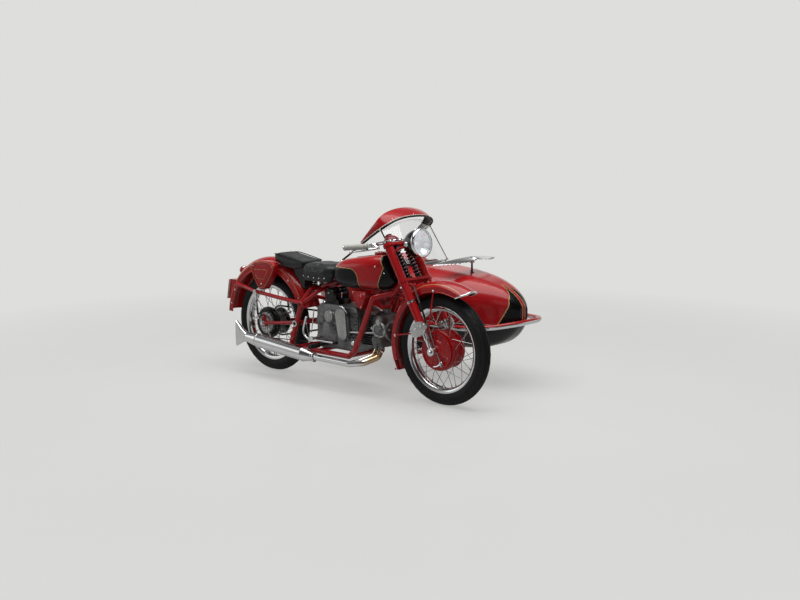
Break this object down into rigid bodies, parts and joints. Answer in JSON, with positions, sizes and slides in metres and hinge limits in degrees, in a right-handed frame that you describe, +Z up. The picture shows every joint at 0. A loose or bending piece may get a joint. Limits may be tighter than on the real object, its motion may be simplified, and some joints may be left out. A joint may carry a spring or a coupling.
{
  "type": "motorcycle with sidecar",
  "caption": "Classic motorcycle with a horizontal single-cylinder engine and a boat-shaped sidecar on its left; wheels roll and the fork steers.",
  "frame": {"origin": "middle of the whole outline's footprint, on the floor under the wheels", "axes": "+X forward, +Y to the left, towards the sidecar, +Z up"},
  "size_m": [2.2699, 1.5849, 1.0936],
  "materials": {
    "red_paint": "gloss",
    "black_paint": "gloss",
    "chrome": "polished",
    "alloy": "cast, satin",
    "iron": "cast, matt",
    "tyre_rubber": "matt",
    "black_rubber": "matt",
    "ivory_grip": "satin",
    "black_leather": "smooth leathercloth",
    "red_leather": "smooth leathercloth",
    "clear_screen": "clear",
    "lamp_glass": "clear, fluted",
    "red_lens": "gloss",
    "white_plate": "gloss, blank",
    "black_tube": "gloss"
  },
  "bodies": {
    "chassis": {"crankcase": "alloy", "cylinder": "iron", "cylinder_head": "alloy", "drive_chain": "black_paint", "dynamo": "black_paint", "exhaust_pipe": "chrome", "flywheel": "iron", "foot_controls": "alloy", "frame": "red_paint", "fuel_tank": "red_paint", "nose_ornament": "chrome", "number_plate": "white_plate", "pillion_seat": "black_leather", "plate_holder": "red_paint", "rear_dampers": "chrome", "rear_mudguard": "red_paint", "saddle": "black_leather", "saddle_springs": "chrome", "side_boxes": "red_paint", "sidecar_body": "red_paint", "sidecar_bumper": "chrome", "sidecar_chassis": "red_paint", "sidecar_hull": "black_paint", "sidecar_mudguard": "red_paint", "sidecar_seat": "red_leather", "silencer": "chrome", "sun_visor": "red_paint", "swing_arm": "red_paint", "tail_lamp": "red_lens", "tool_cases": "red_paint", "windscreen": "clear_screen", "windscreen_frame": "black_tube"},
    "steering": {"fork": "red_paint", "fork_sliders": "chrome", "fork_springs": "black_rubber", "handlebar": "chrome", "grips": "ivory_grip", "headlamp": "black_paint", "headlamp_rim": "chrome", "headlamp_lens": "lamp_glass", "steering_cap": "red_paint", "front_mudguard": "red_paint", "mudguard_flap": "red_paint"},
    "front_wheel": {"front_hub": "red_paint", "front_rim": "chrome", "front_tyre": "tyre_rubber"},
    "rear_wheel": {"rear_hub": "black_paint", "rear_rim": "chrome", "rear_tyre": "tyre_rubber"},
    "sidecar_wheel": {"sidecar_hub": "black_paint", "sidecar_rim": "chrome", "sidecar_tyre": "tyre_rubber"}
  },
  "joints": [
    {"name": "steering", "type": "hinge", "parent": "chassis", "child": "steering", "pos_m": [0.47014, -0.4255, 0.79], "axis": [-0.5, 0, 0.866], "range_deg": [-30, 30]},
    {"name": "front_wheel_spin", "type": "hinge", "parent": "steering", "child": "front_wheel", "pos_m": [0.805, -0.4255, 0.33], "axis": [0, 1, 0], "continuous": true},
    {"name": "rear_wheel_spin", "type": "hinge", "parent": "chassis", "child": "rear_wheel", "pos_m": [-0.695, -0.4255, 0.33], "axis": [0, 1, 0], "continuous": true},
    {"name": "sidecar_wheel_spin", "type": "hinge", "parent": "chassis", "child": "sidecar_wheel", "pos_m": [-0.485, 0.7045, 0.33], "axis": [0, 1, 0], "continuous": true}
  ]
}
